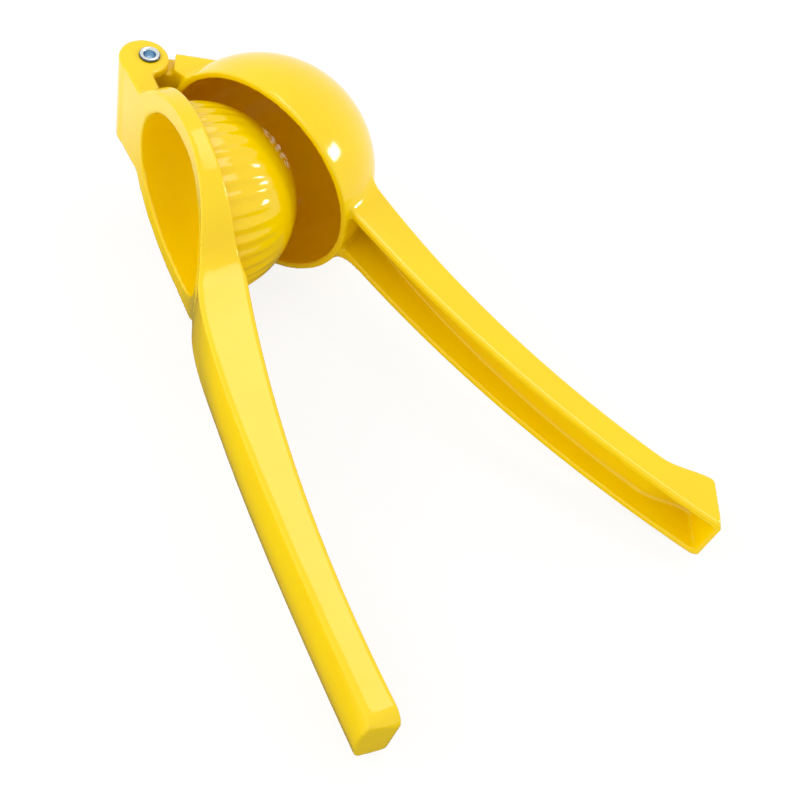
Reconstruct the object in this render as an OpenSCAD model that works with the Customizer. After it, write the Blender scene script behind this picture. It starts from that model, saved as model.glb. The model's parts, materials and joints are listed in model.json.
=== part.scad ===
// Hinged lemon squeezer: two cast arms turning on one hollow rivet.
//
// Each arm is drawn in the hinge frame: the rivet lies along Z at the origin, the arm runs along +X,
// and the side that the bowl bulges to is +Y. Closed, both arms share that frame. The two arms are
// then opened by half the rest angle each, and the whole tool is leaned over until the bowl and both
// handle tips stand on the ground plane Z = 0.

/* [Bowl] */
// Outer radius of the bowl
bowl_r = 35; // [32:0.5:38]
// Thickness of the bowl wall
bowl_wall = 2.2; // [1.8:0.1:3]
// Height of the straight wall between the rim and the round bottom
bowl_skirt = 4; // [2:0.5:6]
// Distance from the hinge to the nearest side of the bowl
bowl_reach = 9.5; // [8.5:0.5:12]
// Distance of the rim plane from the hinge, towards the press
rim_drop = 1; // [0.5:0.1:2]
// Diameter of one drain hole
drain_d = 3.2; // [2.6:0.1:4]
// Distance between neighbouring rings of drain holes
drain_pitch = 5.2; // [4.6:0.1:7]
// Rings of drain holes round the middle one
drain_rings = 2; // [1:1:2]

/* [Press] */
// How far the press ring's edge lies inside the bowl's edge
ring_inset = 0.8; // [0:0.1:1.6]
// Thickness of the ring at its thinnest, in the middle of the arm
ring_t = 5.4; // [4.5:0.1:6.5]
// Gap between the ring and the bowl rim when the tool is closed
ring_gap = 0.6; // [0.4:0.1:2]
// Gap between the press dome and the bowl wall when the tool is closed
dome_gap = 3.4; // [2.8:0.1:5]
// Height of the dome's straight wall between the ring and its round end
dome_wall = 1.8; // [1:0.1:4]
// Number of flutes round the dome
flutes = 40; // [24:2:44]
// Depth of a flute at its deepest
flute_depth = 1; // [0.4:0.1:1.2]
// Radius of a flute's section
flute_r = 2.6; // [1.5:0.1:2.8]
// Height of a flute's deepest place above the dome's straight wall, as an angle from its middle
flute_tilt = 5; // [2:1:12]
// Thickness of the dome's wall at the ridges between the flutes
cup_wall = 2.1; // [2:0.1:4]

/* [Hinge] */
// Half of the width over the two fork ears
fork_half = 16.9; // [15:0.1:18]
// Thickness of one fork ear
ear_t = 3.1; // [2.6:0.1:4]
// Radius of the round end of an ear
ear_r = 7.5; // [7:0.1:8]
// How far the ear's round end sits off the rivet, towards the outer face
ear_offset = 1.8; // [1:0.1:2]
// Diameter of the rivet's shank
rivet_d = 4.4; // [4:0.1:5]
// Diameter of the rivet's heads
head_d = 6.5; // [6.2:0.1:7.5]
// Height of the rivet's heads
head_h = 0.8; // [0.6:0.1:1.5]
// Diameter of the hollow in the rivet's rolled end
hollow_d = 3.2; // [2.4:0.1:3.4]
// Running clearance between the rivet and the knuckle, on the radius
pivot_clearance = 0.05; // [0.02:0.01:0.1]
// Play between the knuckle and each ear
ear_play = 0.2; // [0.1:0.05:0.3]
// Radius of the knuckle round the rivet
knuckle_r = 5; // [4.5:0.1:5.2]
// Width of the hinge block that carries the knuckle
block_w = 7; // [6:0.1:7.5]
// How far the block's ends lie below the ears' outer faces
block_drop = 1.2; // [0.5:0.1:2.5]
// Distance of the block's step from the rivet
block_start = 7.6; // [7.2:0.1:8.5]
// Angle of the block away from the rim plane
block_angle = 36; // [30:1:40]

/* [Handles] */
// Length of the bowl arm from the rivet
bowl_arm_len = 219.5; // [200:0.5:225]
// Length of the press arm from the rivet
press_arm_len = 217; // [200:0.5:225]
// Half width of the bowl arm's handle
bowl_grip_half = 9.6; // [9:0.1:12]
// Half width of the press arm's handle
press_grip_half = 12.8; // [11:0.1:14]
// Thickness of the handle walls
grip_wall = 2.4; // [2:0.1:3]
// Distance along the arm to the lowest point of both handles' bend
bend_x = 197; // [190:1:205]
// Depth of the bowl arm's handle at the bend, from the lip to the outer face
bowl_grip_depth = 8.9; // [7:0.1:11]
// Depth of the press arm's handle at the bend, from the lip to the outer face
press_grip_depth = 8.1; // [6:0.1:10]
// Flare at the tip of the bowl arm's handle
tip_flare = 4; // [1:0.1:5]
// Radius of the corners at the handle tips
tip_r = 5; // [3:0.5:8]
// Slant of the handle tips, from the lip back to the outer face
tip_angle = 38; // [10:1:45]

/* [Rest] */
// Angle between the arms at rest
open_angle = 28.3; // [10:0.1:60]

/* [Hidden] */
$fn = 96;

// A small overlap that lets a cut pass right through a face
eps = 0.5;

// Further than any piece of an arm reaches from the rivet across the arm
beyond = 2 * bowl_r;

// Depth of the tiny flat at the pole of each round end
pole_flat = 0.02;

// Bowl arm
bowl_in = bowl_r - bowl_wall;
bowl_x = bowl_r + bowl_reach;
rim_y = -rim_drop;
bowl_mid_y = rim_y + bowl_skirt;

// Press arm: the ring, the dome inside the bowl and the cup inside the dome
ring_r = bowl_r - ring_inset;
dome_r = bowl_in - dome_gap;
cup_r = dome_r - cup_wall;

// Press arm: the face that meets the rim, and the arched outer face
seat_y = rim_y - ring_gap;
valley_x = bowl_x - 2;
valley_y = seat_y - ring_t;
outer_y0 = -ear_offset - ear_r;

// The handles' lips and outer faces, bent as circles whose lowest point lies at bend_x
lip_bend_r = 460;
back_bend_r = 350;
bowl_lip_drop = 13.1;
bowl_lip_y = rim_y - bowl_lip_drop;
bowl_back_y = bowl_lip_y + bowl_grip_depth;
press_lip_drop = 14.3;
press_lip_y = seat_y - press_lip_drop;
web_y = press_lip_y - press_grip_depth;
web_rise = 0.8;

// Where the handles' roots begin inside the bowl and the ring, and the rounded corners there
root_overlap = 11;
root_x = bowl_x + bowl_r - root_overlap;
root_fillet_r = 8;
grip_fillet_r = 12;

// Flare of the bowl arm's tip: its length, its foot inside the web and the bend that runs into it
flare_len = 22;
flare_foot = 2;
flare_run = 3;
flare_lift = 0.3;
flare_bend_r = 45;

// Hinge
slot_half = fork_half - ear_t;
knuckle_half = slot_half - ear_play;
block_half = fork_half - block_drop;
block_back_len = 16;
block_back_rise = 9;
block_front_rise = 1;
block_overlap = 20;
slot_clearance = 1.2;
slot_y = -knuckle_r - slot_clearance;
neck_half = fork_half - 1.6;
neck_overlap = 7;
neck_root_x = bowl_x - bowl_r + neck_overlap;
neck_fillet_r = 9;

// Rivet
rivet_r = rivet_d / 2;
head_taper = 0.3;
hollow_depth = 4;

// Ground: the bowl's rim and the two rounded handle tips are three round feet. The slope of the plane
// that touches all three is found along X and Y in the hinge frame.
bowl_turn = open_angle / 2;
press_turn = -open_angle / 2;
function turned(p, turn) = [p[0] * cos(turn) - p[1] * sin(turn), p[0] * sin(turn) + p[1] * cos(turn)];
bowl_foot = turned([bowl_x, rim_y], bowl_turn);
bowl_tip = turned([bowl_arm_len - tip_r, bowl_lip_y], bowl_turn);
press_tip = turned([press_arm_len - tip_r, press_lip_y], press_turn);
function solve2(a, b, p, q) =
    let (det = a[0] * b[1] - a[1] * b[0])
    [(p * b[1] - q * a[1]) / det, (a[0] * q - b[0] * p) / det];
function slope(k) =
    solve2(bowl_tip - bowl_foot, press_tip - bowl_foot,
        (bowl_r - tip_r) * k - bowl_grip_half + tip_r,
        (bowl_r - tip_r) * k - press_grip_half + tip_r);
ground_1 = slope(1);
ground_2 = slope(norm([1, ground_1[0], ground_1[1]]));
lean = atan(norm(ground_2));
lean_dir = atan2(ground_2[1], ground_2[0]);
ground_drop = bowl_r + (bowl_foot * ground_2) * cos(lean);

// Where a point of an arm comes to lie on the ground plane, before the tool is centred
function leaned(p, turn) =
    let (q = turned(p, turn - lean_dir), along = q[0] * cos(lean) + p[2] * sin(lean))
    turned([along, q[1]], lean_dir);

// The outermost points of the tool, and the middle of its box
hinge_end = leaned([0, -ear_offset, -fork_half], press_turn)[0] - ear_r;
bowl_end = leaned([bowl_arm_len, bowl_lip_y, bowl_grip_half - tip_r], bowl_turn)[0];
press_end = leaned([press_arm_len, press_lip_y, press_grip_half - tip_r], press_turn)[0];
press_tip_back = press_arm_len - (press_lip_y - web_y) * tan(tip_angle);
press_low = leaned([press_tip_back, web_y + 3 / 4 * web_rise, tip_r - press_grip_half], press_turn)[1];
bowl_high = leaned([bowl_x, bowl_mid_y, 0], bowl_turn)[1] + bowl_r;
bowl_tip_back = bowl_arm_len - (bowl_back_y - bowl_lip_y) * tan(tip_angle);
tip_high = leaned([bowl_tip_back, bowl_back_y + tip_flare / 4, 0], bowl_turn)[1];
length_mid = (max(bowl_end, press_end) + hinge_end) / 2;
width_mid = (max(bowl_high, tip_high) + press_low) / 2;

module place(turn) {
    translate([-length_mid, -width_mid, ground_drop])
        rotate([0, 0, lean_dir])
            rotate([0, lean, 0])
                rotate([0, 0, turn - lean_dir])
                    children();
}

// Extrudes a shape drawn in X and Z between two heights in Y
module along_y(y0, y1) {
    translate([0, y1, 0])
        rotate([90, 0, 0])
            linear_extrude(y1 - y0)
                children();
}

// Extrudes a shape drawn in X and Y to a half width on both sides of the middle plane
module across(half) {
    translate([0, 0, -half])
        linear_extrude(2 * half)
            children();
}

// A round bar along Z
module pin_bar(r, half) {
    translate([0, 0, -half])
        cylinder(h = 2 * half, r = r);
}

// Plan of the rounded corner between a disc and a straight side that runs off it
module round_fillet(disc_r, half, r, side) {
    run = sqrt(pow(disc_r + r, 2) - pow(half + r, 2));
    touch = disc_r / (disc_r + r);
    difference() {
        polygon([[side * run, 0], [side * run, half],
            [side * run * touch, (half + r) * touch], [0, 0]]);
        translate([side * run, half + r])
            circle(r = r);
    }
}

// ---- Bowl arm ----

// A solid of revolution about Y with a straight wall and a half-round end, open side at y0
module cap(r, y0, wall_h) {
    translate([bowl_x, y0, 0])
        rotate([-90, 0, 0])
            rotate_extrude()
                intersection() {
                    square([r, wall_h + r - pole_flat]);
                    union() {
                        square([r, wall_h]);
                        translate([0, wall_h])
                            circle(r = r);
                    }
                }
}

module drain_holes() {
    translate([bowl_x, bowl_mid_y, 0])
        rotate([-90, 0, 0]) {
            cylinder(h = bowl_r + eps, d = drain_d);
            for (ring = [1 : drain_rings])
                for (i = [0 : 6 * ring - 1])
                    rotate([0, 0, 60 * i / ring])
                        translate([drain_pitch * ring, 0, 0])
                            cylinder(h = bowl_r + eps, d = drain_d);
        }
}

// Side outline between two bent lines, from a start to an end along the arm
module bent_side(x0, x1, lip_y, lip_bend, back_y, back_bend) {
    intersection() {
        translate([x0, lip_y - eps])
            square([x1 - x0, beyond]);
        difference() {
            translate([bend_x, lip_y + lip_bend])
                circle(r = lip_bend, $fn = 720);
            translate([bend_x, back_y + back_bend])
                circle(r = back_bend, $fn = 720);
        }
    }
}

// Flared edge at the tip of the bowl arm's back
module flare_side() {
    foot_x = bowl_arm_len - flare_len;
    difference() {
        translate([foot_x, bowl_back_y - flare_foot])
            square([flare_len, flare_foot + tip_flare]);
        translate([foot_x + flare_run, bowl_back_y + flare_lift + flare_bend_r])
            circle(r = flare_bend_r);
    }
}

// Plan outline of a handle seen from the lip side, with rounded tip corners
module grip_plan(x0, x1, half) {
    translate([x0, -half])
        square([x1 - x0 - tip_r, 2 * half]);
    translate([x0, -half + tip_r])
        square([x1 - x0, 2 * (half - tip_r)]);
    for (side = [-1, 1])
        translate([x1 - tip_r, side * (half - tip_r)])
            circle(r = tip_r);
}

// Everything short of a slanted tip, which runs back from the lip's end to the outer face
module tip_cut(tip_x, lip_y, back_y) {
    depth = back_y - lip_y;
    slant = abs(depth) * tan(tip_angle);
    polygon([[-beyond, lip_y - 4 * depth], [tip_x + 4 * slant, lip_y - 4 * depth],
        [tip_x - 4 * slant, lip_y + 4 * depth], [-beyond, lip_y + 4 * depth]]);
}

// Rounded corner between the bowl and one flank of its handle: straight along the skirt, then turned
// round the middle of the round bottom
module root_fillet() {
    along_y(-beyond, bowl_mid_y)
        translate([bowl_x, 0])
            round_fillet(bowl_r, bowl_grip_half, root_fillet_r, 1);
    translate([bowl_x, bowl_mid_y, 0])
        rotate_extrude(angle = 90)
            round_fillet(bowl_r, bowl_grip_half, root_fillet_r, 1);
}

module bowl_grip() {
    difference() {
        intersection() {
            union() {
                along_y(-beyond, beyond)
                    grip_plan(root_x, bowl_arm_len, bowl_grip_half);
                for (flip = [0, 1])
                    mirror([0, 0, flip])
                        root_fillet();
            }
            across(bowl_r) {
                bent_side(root_x, bowl_arm_len, bowl_lip_y, lip_bend_r,
                    bowl_back_y, back_bend_r);
                flare_side();
            }
            across(bowl_r)
                tip_cut(bowl_arm_len, bowl_lip_y, bowl_back_y + tip_flare);
        }
        intersection() {
            along_y(-beyond, beyond)
                grip_plan(root_x, bowl_arm_len - grip_wall, bowl_grip_half - grip_wall);
            across(bowl_grip_half)
                bent_side(root_x - eps, bowl_arm_len, bowl_lip_y - eps, lip_bend_r,
                    bowl_back_y - grip_wall, back_bend_r + grip_wall);
            across(bowl_grip_half)
                translate([-grip_wall, 0])
                    tip_cut(bowl_arm_len, bowl_lip_y, bowl_back_y + tip_flare);
        }
    }
}

// Block from the bowl towards the hinge, stepping down to the knuckle round the rivet
module hinge_block() {
    along = [cos(block_angle), sin(block_angle)];
    over = [-sin(block_angle), cos(block_angle)];
    front = block_start * along - block_w / 2 * over;
    back = block_start * along + block_w / 2 * over;
    buried = bowl_x - bowl_r + block_overlap;
    across(block_half)
        polygon([front, back, back + block_back_len * along,
            [buried, back[1] + block_back_rise], [buried, front[1] + block_front_rise]]);
    across(knuckle_half) {
        circle(r = knuckle_r);
        rotate([0, 0, block_angle])
            translate([0, -block_w / 2])
                square([block_start + 1, block_w]);
    }
}

module bowl_arm() {
    color("gold")
        place(bowl_turn)
            difference() {
                union() {
                    cap(bowl_r, rim_y, bowl_skirt);
                    hinge_block();
                    bowl_grip();
                }
                cap(bowl_in, rim_y - beyond, bowl_skirt + beyond);
                drain_holes();
                pin_bar(rivet_r + pivot_clearance, fork_half + eps);
            }
}

// ---- Press arm ----

// Point on a cubic curve
function bez(p, t) =
    pow(1 - t, 3) * p[0] + 3 * pow(1 - t, 2) * t * p[1] + 3 * (1 - t) * t * t * p[2] + pow(t, 3) * p[3];

// The arched outer face: over the hinge, down to the middle of the ring and out along the handle
steps = 12;
hinge_x0 = -ear_r - 4.5;
ring_end = [bowl_x + ring_r + 11.3, seat_y - 14];
hinge_run = [[hinge_x0, outer_y0], [14, outer_y0 + 0.3], [24, valley_y], [valley_x, valley_y]];
ring_run = [[valley_x, valley_y], [valley_x + 18, valley_y], ring_end + [-14, 5.2], ring_end];
grip_run = [ring_end, ring_end + [24, -6], [150, web_y - 3 / 4 * web_rise],
    [press_arm_len, web_y + web_rise]];
function run_points(run) = [for (i = [0 : steps - 1]) bez(run, i / steps)];
outer_line = concat(run_points(hinge_run), run_points(ring_run), run_points(grip_run),
    [grip_run[3]]);

// Side outline of the whole press arm, kept a wall's thickness inside the outer face when asked
module press_side_view(inset) {
    polygon(concat([for (p = outer_line) [p[0], p[1] + inset]],
        [[press_arm_len + tip_r, grip_run[3][1] + inset], [press_arm_len + tip_r, beyond],
            [hinge_x0, beyond]]));
}

// Plan outline of the ring, the neck and the root of the handle
module ring_plan() {
    translate([bowl_x, 0]) {
        circle(r = ring_r, $fn = 180);
        for (flip = [0, 1])
            mirror([0, flip]) {
                round_fillet(ring_r, neck_half, neck_fillet_r, -1);
                round_fillet(ring_r, press_grip_half, grip_fillet_r, 1);
            }
    }
}

// Fork ear outline: a round end off the rivet and a straight neck
module ear_side() {
    translate([0, -ear_offset])
        circle(r = ear_r);
    translate([0, outer_y0])
        square([neck_root_x + neck_overlap, seat_y - outer_y0]);
}

module fork() {
    difference() {
        across(fork_half)
            intersection() {
                ear_side();
                press_side_view(0);
            }
        translate([hinge_x0, slot_y, -slot_half])
            cube([neck_root_x - hinge_x0, beyond, 2 * slot_half]);
    }
}

// Side outline of the press arm's handle: bent web and lip, flat at the ring, slanted at the tip
module press_grip_side(inset) {
    intersection() {
        press_side_view(inset);
        difference() {
            translate([root_x - eps, -beyond])
                square([press_arm_len, beyond + seat_y]);
            translate([bend_x, press_lip_y + lip_bend_r])
                circle(r = lip_bend_r, $fn = 720);
        }
        tip_cut(press_arm_len - inset, press_lip_y, web_y);
    }
}

module press_grip() {
    difference() {
        intersection() {
            along_y(-beyond, beyond)
                grip_plan(root_x, press_arm_len, press_grip_half);
            across(press_grip_half)
                press_grip_side(0);
        }
        intersection() {
            along_y(-beyond, beyond)
                grip_plan(root_x, press_arm_len - grip_wall, press_grip_half - grip_wall);
            across(press_grip_half)
                translate([0, eps])
                    press_grip_side(grip_wall - eps);
        }
    }
}

// Straight flutes that lean with the dome and run out where it curves away
module flute_cuts() {
    run_out = sqrt(2 * dome_r * flute_depth);
    translate([bowl_x, seat_y + dome_wall, 0])
        rotate([-90, 0, 0])
            for (i = [0 : flutes - 1])
                rotate([0, -flute_tilt, 360 * i / flutes])
                    translate([dome_r - flute_depth + flute_r, 0, 0])
                        cylinder(h = 3 * run_out, r = flute_r, center = true, $fn = 48);
}

module ring() {
    intersection() {
        along_y(-beyond, seat_y)
            ring_plan();
        across(ring_r + 1)
            press_side_view(0);
    }
}

module press_arm() {
    color("gold")
        place(press_turn)
            difference() {
                union() {
                    ring();
                    fork();
                    difference() {
                        cap(dome_r, seat_y - eps, dome_wall + eps);
                        flute_cuts();
                    }
                    press_grip();
                }
                cap(cup_r, -beyond, beyond + seat_y + dome_wall);
                pin_bar(rivet_r, fork_half + eps);
            }
}

// ---- Rivet ----

module hinge_rivet() {
    color("silver")
        place(press_turn)
            difference() {
                union() {
                    pin_bar(rivet_r, fork_half);
                    for (flip = [0, 1])
                        mirror([0, 0, flip])
                            translate([0, 0, fork_half])
                                cylinder(h = head_h, d1 = head_d, d2 = head_d - 2 * head_taper);
                }
                translate([0, 0, fork_half - hollow_depth])
                    cylinder(h = hollow_depth + head_h + eps, d = hollow_d);
            }
}

bowl_arm();
press_arm();
hinge_rivet();
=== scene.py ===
import json
import math
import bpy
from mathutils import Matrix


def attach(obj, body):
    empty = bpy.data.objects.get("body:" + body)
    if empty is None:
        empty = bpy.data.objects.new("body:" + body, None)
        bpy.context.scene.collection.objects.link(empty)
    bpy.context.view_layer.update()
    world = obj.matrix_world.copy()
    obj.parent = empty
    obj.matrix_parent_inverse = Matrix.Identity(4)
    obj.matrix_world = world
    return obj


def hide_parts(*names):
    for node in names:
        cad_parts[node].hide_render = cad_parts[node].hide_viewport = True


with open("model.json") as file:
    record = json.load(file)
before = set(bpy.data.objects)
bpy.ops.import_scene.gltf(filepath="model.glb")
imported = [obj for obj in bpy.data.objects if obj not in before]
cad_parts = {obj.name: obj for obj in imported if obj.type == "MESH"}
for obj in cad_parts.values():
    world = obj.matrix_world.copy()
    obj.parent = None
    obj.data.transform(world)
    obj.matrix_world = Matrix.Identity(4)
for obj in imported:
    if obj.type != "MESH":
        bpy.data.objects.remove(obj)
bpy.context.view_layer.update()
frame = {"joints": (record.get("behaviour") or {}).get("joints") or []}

from types import SimpleNamespace

import bmesh
import bpy
from bpy.props import FloatProperty, FloatVectorProperty, PointerProperty
from mathutils import Matrix, Vector

bl_info = {
    "name": "Lemon squeezer",
    "version": (1, 0, 0),
    "blender": (4, 5, 0),
    "location": "View3D > Sidebar > Squeezer",
    "description": "Builds a hinged lemon squeezer: two enamelled castings on one rolled rivet",
    "category": "Add Mesh",
}

HINGE = frame["joints"][0]
PIVOT = Vector(HINGE["pos_m"])
PIN = Vector(HINGE["axis"]).normalized()
OPEN_ANGLE = math.radians(HINGE["range_deg"][1])
LEAN = math.acos(PIN.z)
LEAN_DIR = math.atan2(PIN.y, PIN.x)
MM = 0.001


def linear(code):
    """sRGB hex to linear RGBA."""
    parts = [int(code[i:i + 2], 16) / 255 for i in (0, 2, 4)]
    return (*[p / 12.92 if p <= 0.04045 else ((p + 0.055) / 1.055) ** 2.4 for p in parts], 1)


# ---- Sizes and colours that can be set ----

class SqueezerSizes(bpy.types.PropertyGroup):
    """Sizes of the squeezer, as the castings measure"""

    bowl_radius: FloatProperty(
        name="Bowl radius", description="Outer radius of the bowl",
        unit="LENGTH", precision=4, default=35.0 * MM, min=30 * MM, max=40 * MM)
    bowl_wall: FloatProperty(
        name="Bowl wall", description="Thickness of the bowl's wall",
        unit="LENGTH", precision=4, default=2.2 * MM, min=1.5 * MM, max=3 * MM)
    bowl_middle: FloatProperty(
        name="Bowl middle", description="Distance from the rivet to the middle of the bowl",
        unit="LENGTH", precision=4, default=44.5 * MM, min=43 * MM, max=48 * MM)
    ring_radius: FloatProperty(
        name="Ring radius", description="Outer radius of the press ring",
        unit="LENGTH", precision=4, default=34.2 * MM, min=32 * MM, max=36 * MM)
    dome_radius: FloatProperty(
        name="Dome radius", description="Outer radius of the press dome",
        unit="LENGTH", precision=4, default=29.4 * MM, min=26 * MM, max=31 * MM)
    cup_radius: FloatProperty(
        name="Cup radius", description="Radius of the cup's mouth",
        unit="LENGTH", precision=4, default=27.3 * MM, min=24 * MM, max=28 * MM)
    flute_depth: FloatProperty(
        name="Flute depth", description="Depth of a flute at its deepest",
        unit="LENGTH", precision=4, default=0.6 * MM, min=0.2 * MM, max=1.3 * MM)
    edge_voxel: FloatProperty(
        name="Edge softness", description="Grain at which the castings' edges are softened",
        unit="LENGTH", precision=4, default=0.5 * MM, min=0.4 * MM, max=1.5 * MM)


class SqueezerLooks(bpy.types.PropertyGroup):
    """Colours of the squeezer and its floor"""

    enamel: FloatVectorProperty(
        name="Enamel", description="Colour of the yellow enamel",
        subtype="COLOR", size=4, min=0, max=1, default=linear("F1D100"))
    enamel_deep: FloatVectorProperty(
        name="Deep enamel", description="Colour of the enamel where it lies thicker",
        subtype="COLOR", size=4, min=0, max=1, default=linear("F2C900"))
    # Painted shade: a deeper, redder enamel laid over the bowl's inside, standing in for its shade
    # and bounced light
    enamel_painted_shade: FloatVectorProperty(
        name="Enamel inside", description="Deeper colour painted inside the bowl as its shade and bounced light",
        subtype="COLOR", size=4, min=0, max=1, default=linear("FAC800"))
    zinc: FloatVectorProperty(
        name="Zinc", description="Colour of the plated rivet",
        subtype="COLOR", size=4, min=0, max=1, default=linear("D8DEE0"))
    # Painted reflection: blue laid in the rivet's hollow, standing in for the sky that the hollow
    # mirrors
    hollow_painted_reflection: FloatVectorProperty(
        name="Hollow's painted reflection", description="Blue painted in the rivet's hollow as a reflection",
        subtype="COLOR", size=4, min=0, max=1, default=linear("A9C6DA"))
    # Painted shade: a dark ring on the outer edge of each rivet head, standing in for the shade
    # where it meets the ear
    edge_painted_shade: FloatVectorProperty(
        name="Edge painted shade", description="Darker colour painted on the rivet's edge as shade",
        subtype="COLOR", size=4, min=0, max=1, default=linear("5C6470"))
    floor: FloatVectorProperty(
        name="Floor", description="Colour of the floor",
        subtype="COLOR", size=4, min=0, max=1, default=linear("FFFFFF"))


def sizes_in_mm():
    """The sizes that can be set, by name, in millimetres."""
    group = bpy.context.scene.squeezer_sizes
    return SimpleNamespace(**{name: round(getattr(group, name) / MM, 4)
                              for name in SqueezerSizes.__annotations__})


# ---- Other sizes, in millimetres in the hinge frame: rivet along Z, arm along +X, bowl to +Y ----

# Bowl, and the dome and ring that press into it
RIM_Y = -1.0
BOWL_MID_Y = 3.0
DRAIN_R = 1.6
DRAIN_PITCH = 5.2
SEAT_Y = -1.6
DOME_MID_Y = 0.2
DOME_SINK = 0.5
FLUTES = 40
# Angles above the dome's middle: full depth up to the first, run out at the second
FLUTE_FULL = 12
FLUTE_END = 36
# Share of the dome's radius, round its pole, that stays a plain ball
PLAIN_POLE = 0.3

# Hinge: fork ears, knuckle, block and rivet
FORK_HALF = 16.9
EAR_T = 3.1
EAR_R = 7.5
EAR_OFFSET = 1.8
NECK_DRAW = 1.6
# The neck and its slot end this far short of the bowl's middle
NECK_SHORT = 20
SLOT_SHORT = 28
SLOT_GAP = 1.2
KNUCKLE_HALF = 13.6
KNUCKLE_R = 5.0
BORE_R = 2.35
BLOCK_HALF = 16.2
BLOCK_W = 7.0
BLOCK_START = 7.6
BLOCK_ANGLE = math.radians(36)
RIVET_R = 2.2
HEAD_R = 3.25
HEAD_H = 0.8
HOLLOW_R = 1.75
HOLLOW_DEPTH = 3.0
# Width of the painted shade on the outer edge of each rivet head
PAINTED_SHADE_W = 0.3

# The press arm's arched outer face, which is drawn past both ends of the arm
OUTER_Y = -9.3
VALLEY_Y = -7.0
WEB_Y = -24.0
FACE_START = -12
FACE_PAST = 5

# Handles
BOWL_ARM_LEN = 219.5
PRESS_ARM_LEN = 217.0
# Where a handle's solid starts, out from the bowl's middle, and its sections along the arm
GRIP_START = 24
GRIP_STEPS = 96
BOWL_GRIP_HALF = 9.6
PRESS_GRIP_HALF = 12.8
GRIP_WALL = 2.4
END_WALL = 1.2
LIP_ROUND = 0.7
MOUTH = 3.0
BEND_X = 197.0
LIP_BEND = 460.0
BACK_BEND = 350.0
BOWL_LIP_Y = -14.1
BOWL_BACK_Y = -5.2
PRESS_LIP_Y = -15.9
TIP_FLARE = 4.0
TIP_FLARE_START = 25.0
TIP_FLARE_END = 9.0
BOWL_TIP_ANGLE = math.radians(36)
PRESS_TIP_ANGLE = math.radians(12)
PRESS_TIP_BACK = 2.0
BOWL_ROOT_FILLETS = (5.5, 12.0)
ROOT_SINK = 0.1
NECK_FILLET = 9.0
PRESS_ROOT_FILLET = 12.0

# Section and tip of each handle and its channel: upper and lower corner radii, and the web's crown.
# They grow from a sharp corner and a flat web over a stretch of the arm, and a corner takes up no
# more than its share of the depth.
SHARP = 0.4
CORNER_SHARE = 0.8
BOWL_GROWTH = (80, 110)
BOWL_GRIP = SimpleNamespace(corners=(1.0, 1.6), tip=(2.5, 3.6), crown=0.6)
BOWL_CHANNEL = SimpleNamespace(corners=(0.6, 1.2), tip=(0.8, 3.0), crown=0.6)
PRESS_GROWTH = (82, 120)
PRESS_GRIP = SimpleNamespace(corners=(0.5, 4.5), tip=(5.0, 6.0), crown=1.4)
PRESS_CHANNEL = SimpleNamespace(corners=(1.0, 3.0), tip=(3.8, 4.8), crown=1.0)

# How far a cutting tool or a rough solid reaches past the work
TOOL_REACH = 60
SIDE_REACH = 50
WORK_REACH = 40
PIN_REACH = 30
DRILL_DEPTH = 30
PAST_TIP = 4

# Steps that round shapes and webs are made in
SPIN_STEPS = 180
WEB_STEPS = 16

# Edge finishing
EASE_FACTOR = 0.5
EASE_ROUNDS = 6
THIN_TO = 0.62


# ---- Shop tools ----

def place(turn):
    """Matrix from an arm's hinge frame, in mm, to its place on the ground, in metres."""
    return (Matrix.Translation(PIVOT) @ Matrix.Rotation(LEAN_DIR, 4, "Z")
            @ Matrix.Rotation(LEAN, 4, "Y") @ Matrix.Rotation(turn - LEAN_DIR, 4, "Z")
            @ Matrix.Scale(MM, 4))


def link_mesh(name, bm):
    """Frees a bmesh into a new object in the scene."""
    mesh = bpy.data.meshes.new(name)
    bm.to_mesh(mesh)
    bm.free()
    obj = bpy.data.objects.new(name, mesh)
    bpy.context.scene.collection.objects.link(obj)
    return obj


def to_object(name, bm):
    """Closes a solid's seams, turns its faces outwards and makes it an object."""
    bmesh.ops.remove_doubles(bm, verts=bm.verts, dist=1e-4)
    bmesh.ops.recalc_face_normals(bm, faces=bm.faces)
    return link_mesh(name, bm)


def settle(obj):
    """Makes an object's modifiers part of its mesh."""
    graph = bpy.context.evaluated_depsgraph_get()
    mesh = bpy.data.meshes.new_from_object(obj.evaluated_get(graph))
    obj.modifiers.clear()
    old, obj.data = obj.data, mesh
    bpy.data.meshes.remove(old)


def discard(obj):
    """Removes an object and its mesh."""
    mesh = obj.data
    bpy.data.objects.remove(obj)
    bpy.data.meshes.remove(mesh)


def machine(obj, tool, operation="DIFFERENCE", keep=False):
    """Cuts an object with a tool, or keeps what both share."""
    cut = obj.modifiers.new("cut", "BOOLEAN")
    cut.operation = operation
    cut.solver = "EXACT"
    cut.object = tool
    settle(obj)
    if not keep:
        discard(tool)


def weld(name, objects):
    """Joins solids that overlap into one object."""
    bm = bmesh.new()
    for obj in objects:
        bm.from_mesh(obj.data)
        discard(obj)
    return link_mesh(name, bm)


def new_verts(grown):
    """The vertices among what an extrusion made."""
    return [g for g in grown["geom"] if isinstance(g, bmesh.types.BMVert)]


def prism(name, outline, low, high, plan=False):
    """Extrudes an outline in X and Y along Z, or a plan in X and Z along Y."""
    bm = bmesh.new()
    face = bm.faces.new([bm.verts.new((a, low, b) if plan else (a, b, low)) for a, b in outline])
    grown = bmesh.ops.extrude_face_region(bm, geom=[face], use_keep_orig=True)
    along = Vector((0, high - low, 0)) if plan else Vector((0, 0, high - low))
    bmesh.ops.translate(bm, verts=new_verts(grown), vec=along)
    return to_object(name, bm)


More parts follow.
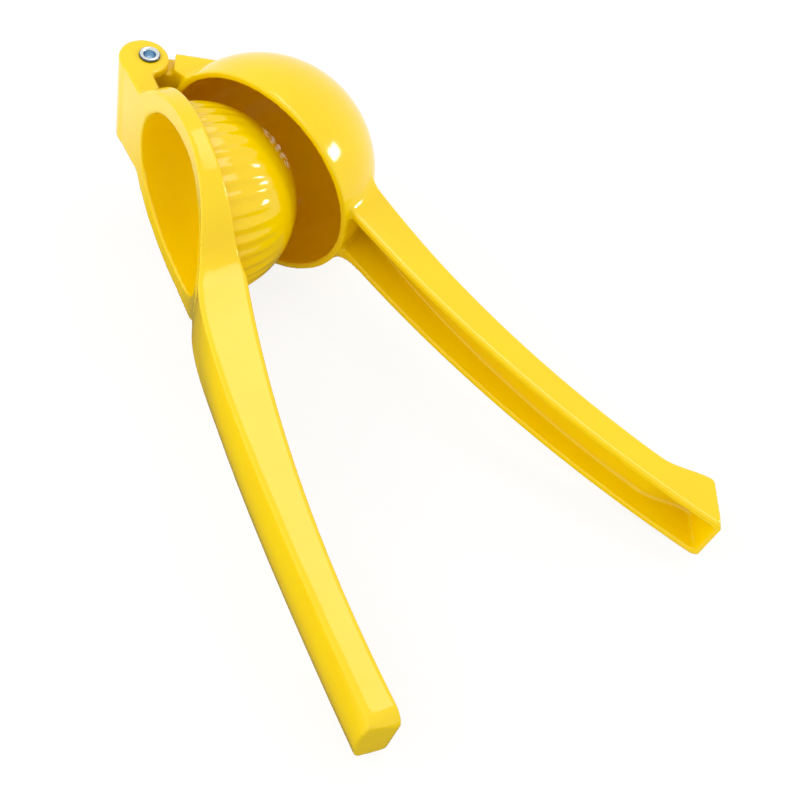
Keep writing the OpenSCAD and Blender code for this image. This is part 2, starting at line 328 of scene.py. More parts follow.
def loft(name, rings):
    """Skins a row of closed rings, by extruding the first one's edges from ring to ring."""
    bm = bmesh.new()
    row = [bm.verts.new(point) for point in rings[0]]
    edges = bm.faces.new(row).edges[:]
    for ring in rings[1:]:
        fresh = set(new_verts(bmesh.ops.extrude_edge_only(bm, edges=edges)))
        row = [next(other for other in (edge.other_vert(vert) for edge in vert.link_edges)
                    if other in fresh) for vert in row]
        for vert, point in zip(row, ring):
            vert.co = point
        edges = [bm.edges.get((row[i - 1], vert)) for i, vert in enumerate(row)]
    bmesh.ops.contextual_create(bm, geom=edges)
    return to_object(name, bm)


def turned(name, profile):
    """Spins a profile of radius and height round the bowl's axis, which runs along Y."""
    middle = sizes_in_mm().bowl_middle
    bm = bmesh.new()
    points = [bm.verts.new((middle + r, y, 0)) for r, y in profile]
    line = [bm.edges.new(pair) for pair in zip(points, points[1:])]
    bmesh.ops.spin(bm, geom=points + line, cent=(middle, 0, 0), axis=(0, 1, 0), dvec=(0, 0, 0),
                   angle=2 * math.pi, steps=SPIN_STEPS, use_merge=True, use_duplicate=False)
    return to_object(name, bm)


def arc(cx, cy, radius, start, end, count):
    """Points on an arc, with both ends, from angles in degrees."""
    turns = [math.radians(start + (end - start) * i / count) for i in range(count + 1)]
    return [(cx + radius * math.cos(t), cy + radius * math.sin(t)) for t in turns]


def circle(cx, cy, radius, sides):
    """Points on a full circle."""
    return arc(cx, cy, radius, 0, 360, sides)[:-1]


def pin(name, radius):
    """A bar along the rivet's line, longer than the hinge is wide."""
    return prism(name, circle(0, 0, radius, 36), -PIN_REACH, PIN_REACH)


def round_end(radius, middle_y):
    """Closed profile of a straight wall with a half-round end, open far below."""
    return [(0, -TOOL_REACH), (radius, -TOOL_REACH)] + arc(0, middle_y, radius, 0, 90, 48)


def eased(x, start, end):
    """Rises from 0 at the start to 1 at the end with no corner."""
    t = min(1.0, max(0.0, (x - start) / (end - start)))
    return t * t * (3 - 2 * t)


def bent(x, low_y, bend):
    """Height of a long bent line at a distance along the arm."""
    return low_y + bend - math.sqrt(bend ** 2 - (x - BEND_X) ** 2)


def bezier(run, t):
    """Point on a curve of four control points."""
    k = 1 - t
    return tuple(k ** 3 * a + 3 * k * k * t * b + 3 * k * t * t * c + t ** 3 * d
                 for a, b, c, d in zip(*run))


def outer_line(count=24):
    """The press arm's arched outer face: over the hinge, down the arch's valley, out to the web."""
    middle = sizes_in_mm().bowl_middle - 2
    valley, knee, end = (middle, VALLEY_Y), (82, -15.7), (PRESS_ARM_LEN, WEB_Y)
    # Three curves that run on into each other, each with its four control points
    runs = [
        [(FACE_START, OUTER_Y), (14, OUTER_Y + 0.3), (24, VALLEY_Y), valley],
        [valley, (middle + 17, VALLEY_Y), (71, -10.6), knee],
        [knee, (94, -21.0), (137, WEB_Y - 0.9), end],
    ]
    line = [bezier(run, i / count) for run in runs for i in range(count)] + [end]
    return line + [(PRESS_ARM_LEN + FACE_PAST, WEB_Y)]


# ---- Handles ----

def channel_ring(x, half, lip, web, form, growth):
    """Section of a handle across the arm: straight flanks with eased lips, an upper and a lower
    rounded corner, and a web that is crowned between them."""
    side = 1 if web > lip else -1
    grown = eased(x, *growth)
    upper, lower = (min(SHARP + (corner - SHARP) * grown, abs(web - lip) * CORNER_SHARE)
                    for corner in form.corners)

    def rounded(corner, flip):
        return [(web - side * corner * (1 - math.sin(math.radians(a))),
                 flip * (half - corner + corner * math.cos(math.radians(a))))
                for a in range(0, 91, 15)]

    high, low = half - upper, lower - half
    across = []
    for i in range(1, WEB_STEPS):
        z = high + (low - high) * i / WEB_STEPS
        bulge = 1 - ((2 * z - high - low) / (high - low)) ** 2
        across.append((web + side * form.crown * grown * bulge, z))
    lips = [(lip + side * LIP_ROUND * (1 - math.cos(t)), half - LIP_ROUND * (1 - math.sin(t)))
            for t in (0, math.pi / 6, math.pi / 3, math.pi / 2)]
    line = (lips + rounded(upper, 1) + across + rounded(lower, -1)[::-1]
            + [(y, -z) for y, z in reversed(lips)])
    return [(x, y, z) for y, z in line]


def tip_line(tip_x, lip_y, back_y, angle):
    """Outline of all that lies short of a slanted tip, drawn well past the lips and the back."""
    depth = back_y - lip_y
    slant = abs(depth) * math.tan(angle)
    return [(-TOOL_REACH, lip_y - 4 * depth), (tip_x + 4 * slant, lip_y - 4 * depth),
            (tip_x - 4 * slant, lip_y + 4 * depth), (-TOOL_REACH, lip_y + 4 * depth)]


def grip_plan(x0, x1, half, upper, lower):
    """Plan outline of a handle, with rounded tip corners."""
    low = arc(x1 - lower, -half + lower, lower, -90, 0, 8)
    high = arc(x1 - upper, half - upper, upper, 0, 90, 8)
    return [(x0, -half)] + low + high + [(x0, half)]


def handle(name, rings, plan, tip):
    """Lofts a handle or its channel, then cuts its plan and its slanted tip."""
    body = loft(name, rings)
    machine(body, prism("plan", plan, -TOOL_REACH, TOOL_REACH, plan=True), "INTERSECT")
    machine(body, prism("tip", tip, -WORK_REACH, WORK_REACH), "INTERSECT")
    return body


# ---- Finishing ----

def soften(obj):
    """Melts joined solids into one skin, eases its edges as enamel does and thins its mesh."""
    melt = obj.modifiers.new("melt", "REMESH")
    melt.mode = "VOXEL"
    melt.voxel_size = sizes_in_mm().edge_voxel
    melt.use_smooth_shade = True
    ease = obj.modifiers.new("ease", "SMOOTH")
    ease.factor = EASE_FACTOR
    ease.iterations = EASE_ROUNDS
    thin = obj.modifiers.new("thin", "DECIMATE")
    thin.ratio = THIN_TO
    settle(obj)


def hand_in(obj, turn, body, material, node):
    """Puts a finished piece in place in the frame."""
    obj.data.transform(place(turn))
    obj.data.materials.clear()
    obj.data.materials.append(material)
    obj.data.polygons.foreach_set("use_smooth", [True] * len(obj.data.polygons))
    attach(obj, body)
    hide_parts(node)


# ---- Materials ----

def add(tree, kind, settings=None, links=None):
    """Adds a node with its socket values or properties, and links into its inputs."""
    node = tree.nodes.new(kind)
    for key, value in (settings or {}).items():
        if isinstance(key, int) or key in node.inputs:
            node.inputs[key].default_value = value
        else:
            setattr(node, key, value)
    for key, source in (links or {}).items():
        tree.links.new(source, node.inputs[key])
    return node


def fresh_material(name):
    """An empty material and its node tree."""
    material = bpy.data.materials.new(name)
    material.use_nodes = True
    material.node_tree.nodes.clear()
    return material, material.node_tree


def pitch(size):
    """Texture scale of a pattern that measures this many millimetres from crest to crest."""
    return 1 / (size * MM)


def glossy_enamel(name, looks, hollow=None):
    """Yellow enamel over a die-cast surface, with painted shade inside a hollow given by its middle
    and radius.
    """
    # Sprayed and baked over a casting: a wet gloss whose highlights waver a little
    material, tree = fresh_material(name)
    spot = add(tree, "ShaderNodeTexCoord").outputs["Object"]
    # It lies thicker in clouds about 14 mm across
    pool = add(tree, "ShaderNodeTexNoise", {"Scale": pitch(14.286), "Detail": 2.0},
               {"Vector": spot})
    tone = add(tree, "ShaderNodeMix", {"data_type": "RGBA", 6: looks.enamel, 7: looks.enamel_deep},
               {"Factor": pool.outputs["Fac"]})
    colour = tone.outputs[2]
    if hollow:
        # Painted shade: a deeper, redder yellow laid over the bowl's inside, standing in for its
        # shade and bounced light
        middle, radius = hollow
        away = add(tree, "ShaderNodeVectorMath", {"operation": "DISTANCE", 1: middle}, {0: spot})
        painted_shade_mask = add(tree, "ShaderNodeMapRange",
                     {"From Min": radius + 0.8 * MM, "From Max": radius + 0.3 * MM},
                     {"Value": away.outputs["Value"]})
        coat = add(tree, "ShaderNodeMix", {"data_type": "RGBA", 7: looks.enamel_painted_shade},
                   {"Factor": painted_shade_mask.outputs["Result"], 6: colour})
        colour = coat.outputs[2]
    # Orange peel, about 1.7 mm from crest to crest, over the casting's slow waves of about 9 mm
    peel = add(tree, "ShaderNodeTexNoise", {"Scale": pitch(1.6667), "Detail": 1.0},
               {"Vector": spot})
    waves = add(tree, "ShaderNodeTexNoise", {"Scale": pitch(9.0909), "Detail": 0.0},
                {"Vector": spot})
    slow = add(tree, "ShaderNodeBump", {"Strength": 0.25, "Distance": 0.4 * MM},
               {"Height": waves.outputs["Fac"]})
    skin = add(tree, "ShaderNodeBump", {"Strength": 0.06, "Distance": 0.2 * MM},
               {"Height": peel.outputs["Fac"], "Normal": slow.outputs["Normal"]})
    # Handling leaves the gloss uneven
    wear = add(tree, "ShaderNodeMapRange", {"To Min": 0.07, "To Max": 0.15},
               {"Value": pool.outputs["Fac"]})
    paint = add(tree, "ShaderNodeBsdfPrincipled", {"IOR": 1.5},
                {"Base Color": colour, "Roughness": wear.outputs["Result"],
                 "Normal": skin.outputs["Normal"]})
    add(tree, "ShaderNodeOutputMaterial", links={"Surface": paint.outputs["BSDF"]})
    return material


def zinc_plate(name, colour):
    """Zinc plate on a cold-formed steel rivet, also used for a painted reflection and painted shade
    on it.
    """
    # Thin bright plate over rolled steel: sharp reflections, dulled here and there
    material, tree = fresh_material(name)
    spot = add(tree, "ShaderNodeTexCoord").outputs["Object"]
    # Rolling leaves fine scuffs, about 0.3 mm apart
    scuffs = add(tree, "ShaderNodeTexNoise", {"Scale": pitch(0.33333), "Detail": 3.0},
                 {"Vector": spot})
    rough = add(tree, "ShaderNodeMapRange", {"To Min": 0.10, "To Max": 0.26},
                {"Value": scuffs.outputs["Fac"]})
    skin = add(tree, "ShaderNodeBump", {"Strength": 0.2, "Distance": 0.05 * MM},
               {"Height": scuffs.outputs["Fac"]})
    plate = add(tree, "ShaderNodeBsdfPrincipled", {"Base Color": colour, "Metallic": 1.0},
                {"Roughness": rough.outputs["Result"], "Normal": skin.outputs["Normal"]})
    add(tree, "ShaderNodeOutputMaterial", links={"Surface": plate.outputs["BSDF"]})
    return material


def gloss_or_through(tree, path):
    """1 for a ray that a glossy or a clear surface sends on."""
    either = add(tree, "ShaderNodeMath", {"operation": "MAXIMUM"},
                 {0: path.outputs["Is Glossy Ray"], 1: path.outputs["Is Transmission Ray"]})
    return either.outputs[0]


def pale_floor(looks):
    """A plain white sheet that shows white and keeps a soft shadow."""
    material, tree = fresh_material("matt white sheet")
    path = add(tree, "ShaderNodeLightPath")
    sheet = add(tree, "ShaderNodeBsdfDiffuse", {"Color": looks.floor})
    glow = add(tree, "ShaderNodeEmission", {"Color": (1, 1, 1, 1), "Strength": 1.0})
    # Under and beside the tool, what the gloss mirrors is the sheet's shaded part: an oval, given
    # by its middle and half widths in metres
    middle, half = (0.01972, -0.01525), (0.14085, 0.08475)
    spot = add(tree, "ShaderNodeTexCoord").outputs["Object"]
    shade = add(tree, "ShaderNodeMapping",
                {"Location": (-middle[0] / half[0], -middle[1] / half[1], 0),
                 "Scale": (1 / half[0], 1 / half[1], 1)}, {"Vector": spot})
    away = add(tree, "ShaderNodeVectorMath", {"operation": "LENGTH"}, {0: shade.outputs["Vector"]})
    bright = add(tree, "ShaderNodeMapRange",
                 {"From Min": 0.85, "From Max": 1.25, "To Min": 0.08, "To Max": 1.0},
                 {"Value": away.outputs["Value"]})
    mirrored = add(tree, "ShaderNodeEmission", {"Color": (1, 1, 1, 1)},
                   {"Strength": bright.outputs["Result"]})
    lit = add(tree, "ShaderNodeMixShader", links={
        "Fac": gloss_or_through(tree, path), 1: sheet.outputs[0], 2: mirrored.outputs[0]})
    # The camera sees mostly the glow; the rest is lit, so that the shadow stays
    most = add(tree, "ShaderNodeMath", {"operation": "MULTIPLY", 1: 0.85},
               {0: path.outputs["Is Camera Ray"]})
    mix = add(tree, "ShaderNodeMixShader", links={
        "Fac": most.outputs[0], 1: lit.outputs[0], 2: glow.outputs[0]})
    add(tree, "ShaderNodeOutputMaterial", links={"Surface": mix.outputs[0]})
    return material


# ---- Pieces ----

class SQUEEZER_OT_bowl_arm(bpy.types.Operator):
    """Cast arm with the bowl, the hinge block and the narrower handle"""

    bl_idname = "squeezer.bowl_arm"
    bl_label = "Bowl arm"

    def execute(self, context):
        sizes = sizes_in_mm()
        inner = sizes.bowl_radius - sizes.bowl_wall
        hollow = turned("hollow", round_end(inner, BOWL_MID_Y))
        bowl = self.bowl(sizes, inner)
        block = self.block(sizes, hollow)
        grip, root = self.grip(sizes)
        machine(root, hollow, keep=True)
        machine(grip, hollow)
        arm = weld("bowl_arm_enamelled", [bowl, block, grip, root])
        soften(arm)
        middle = place(OPEN_ANGLE / 2) @ Vector((sizes.bowl_middle, BOWL_MID_Y, 0))
        # Its enamel carries painted shade over the inside of the bowl
        enamel = glossy_enamel("pooled gloss enamel on cast aluminium",
                               context.scene.squeezer_looks, (middle, inner * MM))
        hand_in(arm, OPEN_ANGLE / 2, "bowl_arm", enamel, "bowl_arm")
        return {"FINISHED"}

    def bowl(self, sizes, inner):
        """Half-round bowl with a middle drain hole and two rings of them."""
        outside = arc(0, BOWL_MID_Y, sizes.bowl_radius, 90, 0, 60)
        inside = arc(0, BOWL_MID_Y, inner, 0, 90, 60)
        rim = [(sizes.bowl_radius, RIM_Y), (inner, RIM_Y)]
        bowl = turned("bowl", outside + rim + inside)
        spots = [(0, 0)] + [(ring, 2 * math.pi * i / (6 * ring))
                            for ring in (1, 2) for i in range(6 * ring)]
        bm = bmesh.new()
        for ring, angle in spots:
            spot = Vector((sizes.bowl_middle + ring * DRAIN_PITCH * math.cos(angle),
                           BOWL_MID_Y + sizes.bowl_radius, -ring * DRAIN_PITCH * math.sin(angle)))
            bmesh.ops.create_cone(bm, cap_ends=True, segments=32, radius1=DRAIN_R, radius2=DRAIN_R,
                                  depth=DRILL_DEPTH, matrix=Matrix.Translation(spot)
                                  @ Matrix.Rotation(math.pi / 2, 4, "X"))
        machine(bowl, to_object("drills", bm))
        return bowl

    def block(self, sizes, hollow):
        """Shoulder that runs off the bowl, and the narrower bar and knuckle that the fork holds."""
        along = Vector((math.cos(BLOCK_ANGLE), math.sin(BLOCK_ANGLE)))
        over = Vector((-along.y, along.x))
        near, far = -BLOCK_W / 2 * over, BLOCK_W / 2 * over
        # The shoulder starts where the bar ends and is buried in the bowl, which the hollow clears
        front, back = near + BLOCK_START * along, far + BLOCK_START * along
        buried = sizes.bowl_middle - sizes.bowl_radius + 20
        shoulder = prism("shoulder", [front, (buried, front.y + 1), (buried, back.y + 9),
                                      back + 16 * along, back], -BLOCK_HALF, BLOCK_HALF)
        machine(shoulder, hollow, keep=True)
        reach = (BLOCK_START + 1) * along
        bar = prism("bar", [near, near + reach, far + reach, far], -KNUCKLE_HALF, KNUCKLE_HALF)
        knuckle = prism("knuckle", circle(0, 0, KNUCKLE_R, 60), -KNUCKLE_HALF, KNUCKLE_HALF)
        for piece in (bar, knuckle):
            machine(piece, pin("bore", BORE_R))
        return weld("block", [shoulder, bar, knuckle])

    def grip(self, sizes):
        """Channel handle, bent away from the lips, with a flare on its back at the tip."""
        x0, x1 = sizes.bowl_middle + GRIP_START, BOWL_ARM_LEN
        xs = [x0 + (x1 + PAST_TIP - x0) * i / GRIP_STEPS for i in range(GRIP_STEPS + 1)]

        def lip(x):
            return bent(x, BOWL_LIP_Y, LIP_BEND)

        def back(x):
            return (bent(x, BOWL_BACK_Y, BACK_BEND)
                    + TIP_FLARE * eased(x, x1 - TIP_FLARE_START, x1 - TIP_FLARE_END))

        def solid(name, form, wall, end, drop):
            half, tip = BOWL_GRIP_HALF - wall, x1 - end
            rings = [channel_ring(x, half, lip(x) - drop, back(x) - wall, form, BOWL_GROWTH)
                     for x in xs]
            return handle(name, rings, grip_plan(x0 - 1, tip, half, *form.tip),
                          tip_line(tip, BOWL_LIP_Y, BOWL_BACK_Y + TIP_FLARE, BOWL_TIP_ANGLE))

        grip = solid("bowl_grip", BOWL_GRIP, 0, 0, 0)
        channel = solid("channel", BOWL_CHANNEL, GRIP_WALL, END_WALL, MOUTH)
        root = self.root(sizes)
        side = [(x, lip(x)) for x in xs] + [(x, back(x) - ROOT_SINK) for x in reversed(xs)]
        machine(root, prism("side", side, -WORK_REACH, WORK_REACH), "INTERSECT")
        machine(root, channel, keep=True)
        machine(grip, channel)
        return grip, root

    def root(self, sizes):
        """Rounded corners where the handle's flanks run off the bowl, turned round its bottom."""
        half, radius = BOWL_GRIP_HALF, sizes.bowl_radius
        lines = []
        for fillet in BOWL_ROOT_FILLETS:
            run = math.sqrt((radius + fillet) ** 2 - (half + fillet) ** 2)
            touch = math.degrees(math.atan2(half + fillet, run)) - 180
            lines.append([(20, 8)] + arc(run, half + fillet, fillet, touch, -90, 12))
        plan = lines[0] + [(x, -z) for x, z in reversed(lines[1])]
        rings = [[(sizes.bowl_middle + x, -WORK_REACH, z) for x, z in plan]]
        # Straight up to the bowl's middle, then round its bottom in steps of 3 degrees
        for turn in [math.radians(3 * i) for i in range(28)]:
            rings.append([(sizes.bowl_middle + x * math.cos(turn),
                           BOWL_MID_Y + x * math.sin(turn), z) for x, z in plan])
        return loft("root", rings)


class SQUEEZER_OT_press_arm(bpy.types.Operator):
    """Cast arm with the fork, the arched ring, the fluted dome and the wider handle"""

    bl_idname = "squeezer.press_arm"
    bl_label = "Press arm"

    def execute(self, context):
        sizes = sizes_in_mm()
        cup = turned("cup", round_end(sizes.cup_radius, DOME_MID_Y))
        over = [(PRESS_ARM_LEN + FACE_PAST, WORK_REACH), (FACE_START, WORK_REACH)]
        side = prism("side", outer_line() + over, -SIDE_REACH, SIDE_REACH)
        ring = prism("ring", self.plan(sizes), -WORK_REACH, SEAT_Y, plan=True)
        machine(ring, side, "INTERSECT", keep=True)
        dome = self.dome(sizes)
        grip = self.grip(sizes)
        for piece in (ring, dome, grip):
            machine(piece, cup, keep=True)
        fork = self.fork(sizes, side, cup)
        arm = weld("press_arm_enamelled", [ring, dome, fork, grip])
        soften(arm)
        enamel = glossy_enamel("gloss enamel on cast aluminium", context.scene.squeezer_looks)
        hand_in(arm, -OPEN_ANGLE / 2, "press_arm", enamel, "press_arm")
        return {"FINISHED"}

    def plan(self, sizes):
        """Plan outline of the ring with the fillets to the neck and the handle."""
        r, cx = sizes.ring_radius, sizes.bowl_middle
        half_line = []
        for half, fillet, side in ((FORK_HALF - NECK_DRAW, NECK_FILLET, -1),
                                   (PRESS_GRIP_HALF, PRESS_ROOT_FILLET, 1)):
            run = math.sqrt((r + fillet) ** 2 - (half + fillet) ** 2)
            touch = math.atan2(half + fillet, side * run)
            end = math.degrees(touch) - 180
            if side < 0:
                half_line += arc(cx - run, half + fillet, fillet, -90, end, 10)
                start = math.degrees(touch)
            else:
                half_line += arc(cx, 0, r, start, math.degrees(touch), 80)[1:-1]
                half_line += arc(cx + run, half + fillet, fillet, end, -90, 10)
        return half_line + [(x, -z) for x, z in reversed(half_line)]

    def dome(self, sizes):
        """Half-round dome with straight flutes that run out where it curves away."""
        radius = sizes.dome_radius
        bm = bmesh.new()
        bmesh.ops.create_uvsphere(bm, u_segments=480, v_segments=144, radius=radius)
        bmesh.ops.bisect_plane(bm, geom=bm.verts[:] + bm.edges[:] + bm.faces[:],
                               plane_co=(0, 0, 0), plane_no=(0, 0, -1), clear_outer=True)
        foot = [e for e in bm.edges if e.is_boundary]
        skirt = new_verts(bmesh.ops.extrude_edge_only(bm, edges=foot))
        bmesh.ops.translate(bm, verts=skirt, vec=(0, 0, SEAT_Y - DOME_SINK - DOME_MID_Y))
        bmesh.ops.contextual_create(bm, geom=[e for e in bm.edges if e.is_boundary])
        for vert in bm.verts:
            away = math.hypot(vert.co.x, vert.co.y)
            if away < PLAIN_POLE * radius:
                continue
            latitude = math.degrees(math.atan2(vert.co.z, away))
            wave = 0.5 + 0.5 * math.cos(FLUTES * math.atan2(vert.co.y, vert.co.x))
            fade = 1 - eased(latitude, FLUTE_FULL, FLUTE_END)
            shrink = 1 - sizes.flute_depth * wave * fade / away
            vert.co.x *= shrink
            vert.co.y *= shrink
        bmesh.ops.transform(bm, verts=bm.verts, matrix=Matrix.Translation(
            (sizes.bowl_middle, DOME_MID_Y, 0)) @ Matrix.Rotation(-math.pi / 2, 4, "X"))
        return to_object("dome", bm)

    def fork(self, sizes, side, cup):
        """Two ears on a neck, slotted for the knuckle and bored for the rivet."""
        root = sizes.bowl_middle - NECK_SHORT
        ears = prism("ears", circle(0, -EAR_OFFSET, EAR_R, 60), -FORK_HALF, FORK_HALF)
        neck = prism("neck", [(0, OUTER_Y), (root, OUTER_Y), (root, SEAT_Y), (0, SEAT_Y)],
                     -FORK_HALF, FORK_HALF)
        machine(neck, side, "INTERSECT")
        half = FORK_HALF - EAR_T
        low, end = -KNUCKLE_R - SLOT_GAP, sizes.bowl_middle - SLOT_SHORT
        slot = [(-20, low), (end, low), (end, WORK_REACH), (-20, WORK_REACH)]
        for piece in (ears, neck):
            machine(piece, prism("slot", slot, -half, half))
            machine(piece, pin("bore", BORE_R))
        machine(neck, cup)
        return weld("fork", [ears, neck])

    def grip(self, sizes):
        """Channel handle whose web carries on the arm's outer face."""
        x0, x1 = sizes.bowl_middle + GRIP_START, PRESS_ARM_LEN - PRESS_TIP_BACK
        xs = [x0 - 0.5 + (x1 + PAST_TIP - x0) * i / GRIP_STEPS for i in range(GRIP_STEPS + 1)]
        face = outer_line(count=48)

        def web(x):
            """Height of the outer face at a distance along the arm."""
            after = next(i for i, p in enumerate(face) if p[0] > x)
            (xa, ya), (xb, yb) = face[after - 1], face[after]
            return ya + (yb - ya) * (x - xa) / (xb - xa)

        def solid(name, form, wall, drop):
            half, tip = PRESS_GRIP_HALF - wall, x1 - wall
            rings = [channel_ring(x, half, min(bent(x, PRESS_LIP_Y, LIP_BEND), SEAT_Y) + drop,
                                  web(x) + wall, form, PRESS_GROWTH) for x in xs]
            return handle(name, rings, grip_plan(x0, tip, half, *form.tip),
                          tip_line(tip, PRESS_LIP_Y, WEB_Y, PRESS_TIP_ANGLE))

        grip = solid("press_grip", PRESS_GRIP, 0, 0)
        machine(grip, solid("channel", PRESS_CHANNEL, GRIP_WALL, MOUTH))
        return grip


class SQUEEZER_OT_rivet(bpy.types.Operator):
    """Semi-tubular rivet with a rolled, hollow end on top"""

    bl_idname = "squeezer.rivet"
    bl_label = "Hinge rivet"

    def execute(self, context):
        rivet = self.rivet()
        looks = context.scene.squeezer_looks
        coats = [self.coat(face) for face in rivet.data.polygons]
        hand_in(rivet, -OPEN_ANGLE / 2, "press_arm",
                zinc_plate("zinc plate on rolled steel", looks.zinc), "hinge_rivet")
        # Painted reflection: a blue colour on the faces of the rivet's hollow
        rivet.data.materials.append(zinc_plate("painted sky reflection in the rivet's hollow", looks.hollow_painted_reflection))
        # Painted shade: a dark colour on the outer edge of each rivet head
        rivet.data.materials.append(zinc_plate("painted shade on the rivet's edge", looks.edge_painted_shade))
        rivet.data.polygons.foreach_set("material_index", coats)
        return {"FINISHED"}

    def rivet(self):
        """Spins the rivet's profile: hollow, rolled lip, shank and lower head."""
        top = FORK_HALF + HEAD_H
        floor = top - HOLLOW_DEPTH
        lip = (HEAD_R + HOLLOW_R) / 2
        profile = [(0, floor), (HOLLOW_R * 0.6, floor + 0.2), (HOLLOW_R, floor + 0.8),
                   (HOLLOW_R, top - 0.5)]
        profile += arc(lip, top - 0.62, (HEAD_R - HOLLOW_R) / 2, 180, 20, 10)[1:]
        profile += [(HEAD_R, top - 0.72), (HEAD_R - 0.1, FORK_HALF - 0.02),
                    (RIVET_R, FORK_HALF - 0.05), (RIVET_R, -FORK_HALF + 0.05),
                    (HEAD_R - 0.05, -FORK_HALF + 0.02), (HEAD_R, -FORK_HALF - 0.15)]
        profile += arc(HEAD_R - 0.6, -FORK_HALF - 0.2, 0.6, 0, -90, 6)[1:] + [(0, -top)]
        bm = bmesh.new()
        points = [bm.verts.new((r, 0, z)) for r, z in profile]
        line = [bm.edges.new(pair) for pair in zip(points, points[1:])]
        bmesh.ops.spin(bm, geom=points + line, cent=(0, 0, 0), axis=(0, 0, 1), dvec=(0, 0, 0),
                       angle=2 * math.pi, steps=64, use_merge=True, use_duplicate=False)
        return to_object("rolled_rivet", bm)

    def coat(self, face):
        """A face's material: 0 plate, 1 the blue painted reflection in the hollow, 2 the painted
        shade on a head's edge.
        """
        away = face.center.xy.length
        # Faces of the hollow get the painted reflection
        if face.center.z > 0 and away < HOLLOW_R + 0.1:
            return 1
        # Faces near a head's outer edge get the painted shade
        return 2 if away > HEAD_R - PAINTED_SHADE_W else 0


# Soft boxes one metre away: angles round and up in degrees, size in metres, brightness, whether
# they show in the gloss, and their share of diffuse light
LAMPS = (
    ("top_box", 88, 66, (0.75, 0.28), 2.5, True, 1.0),
    # Large and near, these two fill in without showing in the gloss
    ("front_box", -135, 32, (0.9, 0.6), 2.3, False, 1.0),
    ("camera_box", -70, 58, (0.8, 0.8), 0.95, False, 1.0),
    # Small and bright, this one makes the glints
    ("window", 57, 19, (0.17, 0.17), 24.0, True, 0.15),
)
LAMPS_AIM = (-0.02, 0.01, 0.04)

# The camera, in the bowl arm's hinge frame
CAMERA_SPOT = (187.75, -230.81, 298.29)
CAMERA_LOOK = (-0.17, 0.5388, -0.8251)
CAMERA_RIGHT = (0.7941, 0.5707, 0.2091)
CAMERA_LENS = 57.45
CAMERA_SENSOR = 36.0


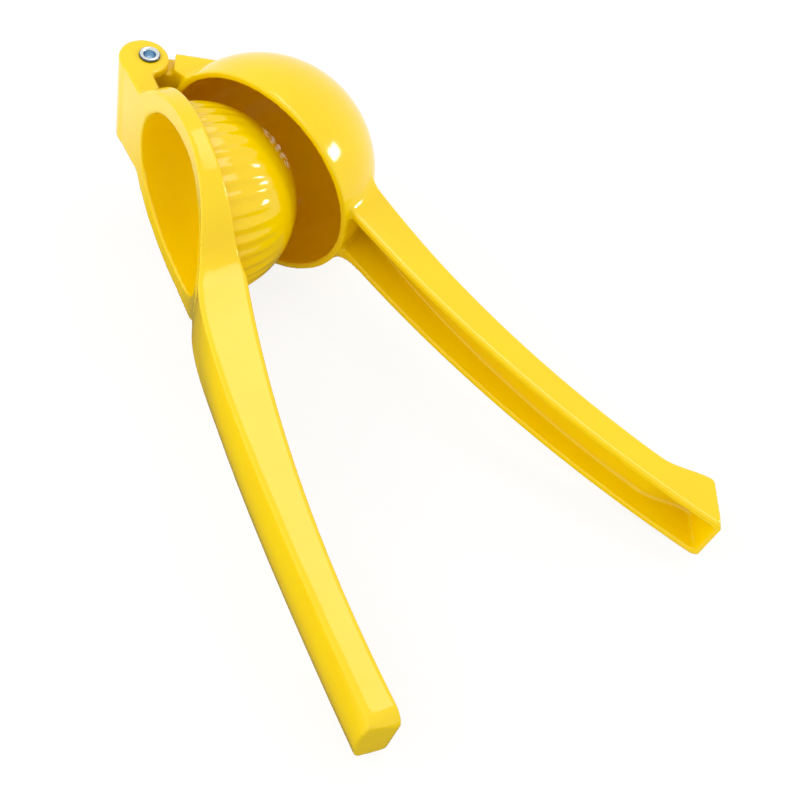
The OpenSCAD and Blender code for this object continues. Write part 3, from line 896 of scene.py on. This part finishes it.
class SQUEEZER_OT_stage(bpy.types.Operator):
    """Plain white floor, soft studio light and the camera"""

    bl_idname = "squeezer.stage"
    bl_label = "Stage"

    def execute(self, context):
        scene = context.scene
        scene.view_settings.view_transform = "Standard"
        bm = bmesh.new()
        bmesh.ops.create_grid(bm, x_segments=1, y_segments=1, size=3.0)
        floor = to_object("floor", bm)
        floor.data.materials.append(pale_floor(scene.squeezer_looks))
        self.world(scene)
        for lamp in LAMPS:
            self.lamp(scene, *lamp)
        self.camera(scene)
        return {"FINISHED"}

    def world(self, scene):
        """A white room that lights less than it shows."""
        world = bpy.data.worlds.new("studio")
        scene.world = world
        world.use_nodes = True
        tree = world.node_tree
        tree.nodes.clear()
        path = add(tree, "ShaderNodeLightPath")
        room = add(tree, "ShaderNodeBackground", {"Color": (1, 1, 1, 1), "Strength": 0.7})
        seen = add(tree, "ShaderNodeBackground", {"Color": (1, 1, 1, 1), "Strength": 1.0})
        shown = add(tree, "ShaderNodeMath", {"operation": "MAXIMUM"},
                    {0: path.outputs["Is Camera Ray"], 1: gloss_or_through(tree, path)})
        mix = add(tree, "ShaderNodeMixShader", links={
            "Fac": shown.outputs[0], 1: room.outputs[0], 2: seen.outputs[0]})
        add(tree, "ShaderNodeOutputWorld", links={"Surface": mix.outputs[0]})

    def lamp(self, scene, name, round_it, up, size, brightness, mirrored, diffuse):
        """A soft box one metre from the tool, at two angles in degrees."""
        around, rise = math.radians(round_it), math.radians(up)
        away = Vector((math.cos(around) * math.cos(rise), math.sin(around) * math.cos(rise),
                       math.sin(rise)))
        light = bpy.data.lights.new(name, "AREA")
        light.shape = "RECTANGLE"
        light.size, light.size_y = size
        light.energy = brightness * math.pi * size[0] * size[1]
        light.diffuse_factor = diffuse
        obj = bpy.data.objects.new(name, light)
        obj.visible_glossy = mirrored
        obj.location = Vector(LAMPS_AIM) + away
        obj.rotation_mode = "QUATERNION"
        obj.rotation_quaternion = away.to_track_quat("Z", "Y")
        scene.collection.objects.link(obj)

    def camera(self, scene):
        """The camera, looking down on the tool from beyond the handles."""
        data = bpy.data.cameras.new("camera")
        data.sensor_width = CAMERA_SENSOR
        data.lens = CAMERA_LENS
        data.clip_start, data.clip_end = 0.01, 20
        cam = bpy.data.objects.new("camera", data)
        scene.collection.objects.link(cam)
        look = Vector(CAMERA_LOOK).normalized()
        right = Vector(CAMERA_RIGHT)
        right = (right - look * right.dot(look)).normalized()
        turn = Matrix((right, right.cross(look), -look)).transposed()
        arm = place(OPEN_ANGLE / 2)
        spot = arm @ Vector(CAMERA_SPOT)
        cam.matrix_world = Matrix.Translation(spot) @ (arm.to_3x3() * (1 / MM) @ turn).to_4x4()
        scene.camera = cam


PIECES = (SQUEEZER_OT_bowl_arm, SQUEEZER_OT_press_arm, SQUEEZER_OT_rivet, SQUEEZER_OT_stage)


class SQUEEZER_PT_panel(bpy.types.Panel):
    """Lists the squeezer's pieces, sizes and colours"""

    bl_idname = "SQUEEZER_PT_panel"
    bl_label = "Lemon squeezer"
    bl_space_type = "VIEW_3D"
    bl_region_type = "UI"
    bl_category = "Squeezer"

    def draw(self, context):
        for group in (context.scene.squeezer_sizes, context.scene.squeezer_looks):
            for name in type(group).__annotations__:
                self.layout.prop(group, name)
        for piece in PIECES:
            self.layout.operator(piece.bl_idname)


CLASSES = (SqueezerSizes, SqueezerLooks, *PIECES, SQUEEZER_PT_panel)


def register():
    for cls in CLASSES:
        bpy.utils.register_class(cls)
    bpy.types.Scene.squeezer_sizes = PointerProperty(type=SqueezerSizes)
    bpy.types.Scene.squeezer_looks = PointerProperty(type=SqueezerLooks)


def unregister():
    del bpy.types.Scene.squeezer_looks
    del bpy.types.Scene.squeezer_sizes
    for cls in reversed(CLASSES):
        bpy.utils.unregister_class(cls)


def main():
    register()
    bpy.ops.squeezer.bowl_arm()
    bpy.ops.squeezer.press_arm()
    bpy.ops.squeezer.rivet()
    bpy.ops.squeezer.stage()


if __name__ == "__main__":
    main()
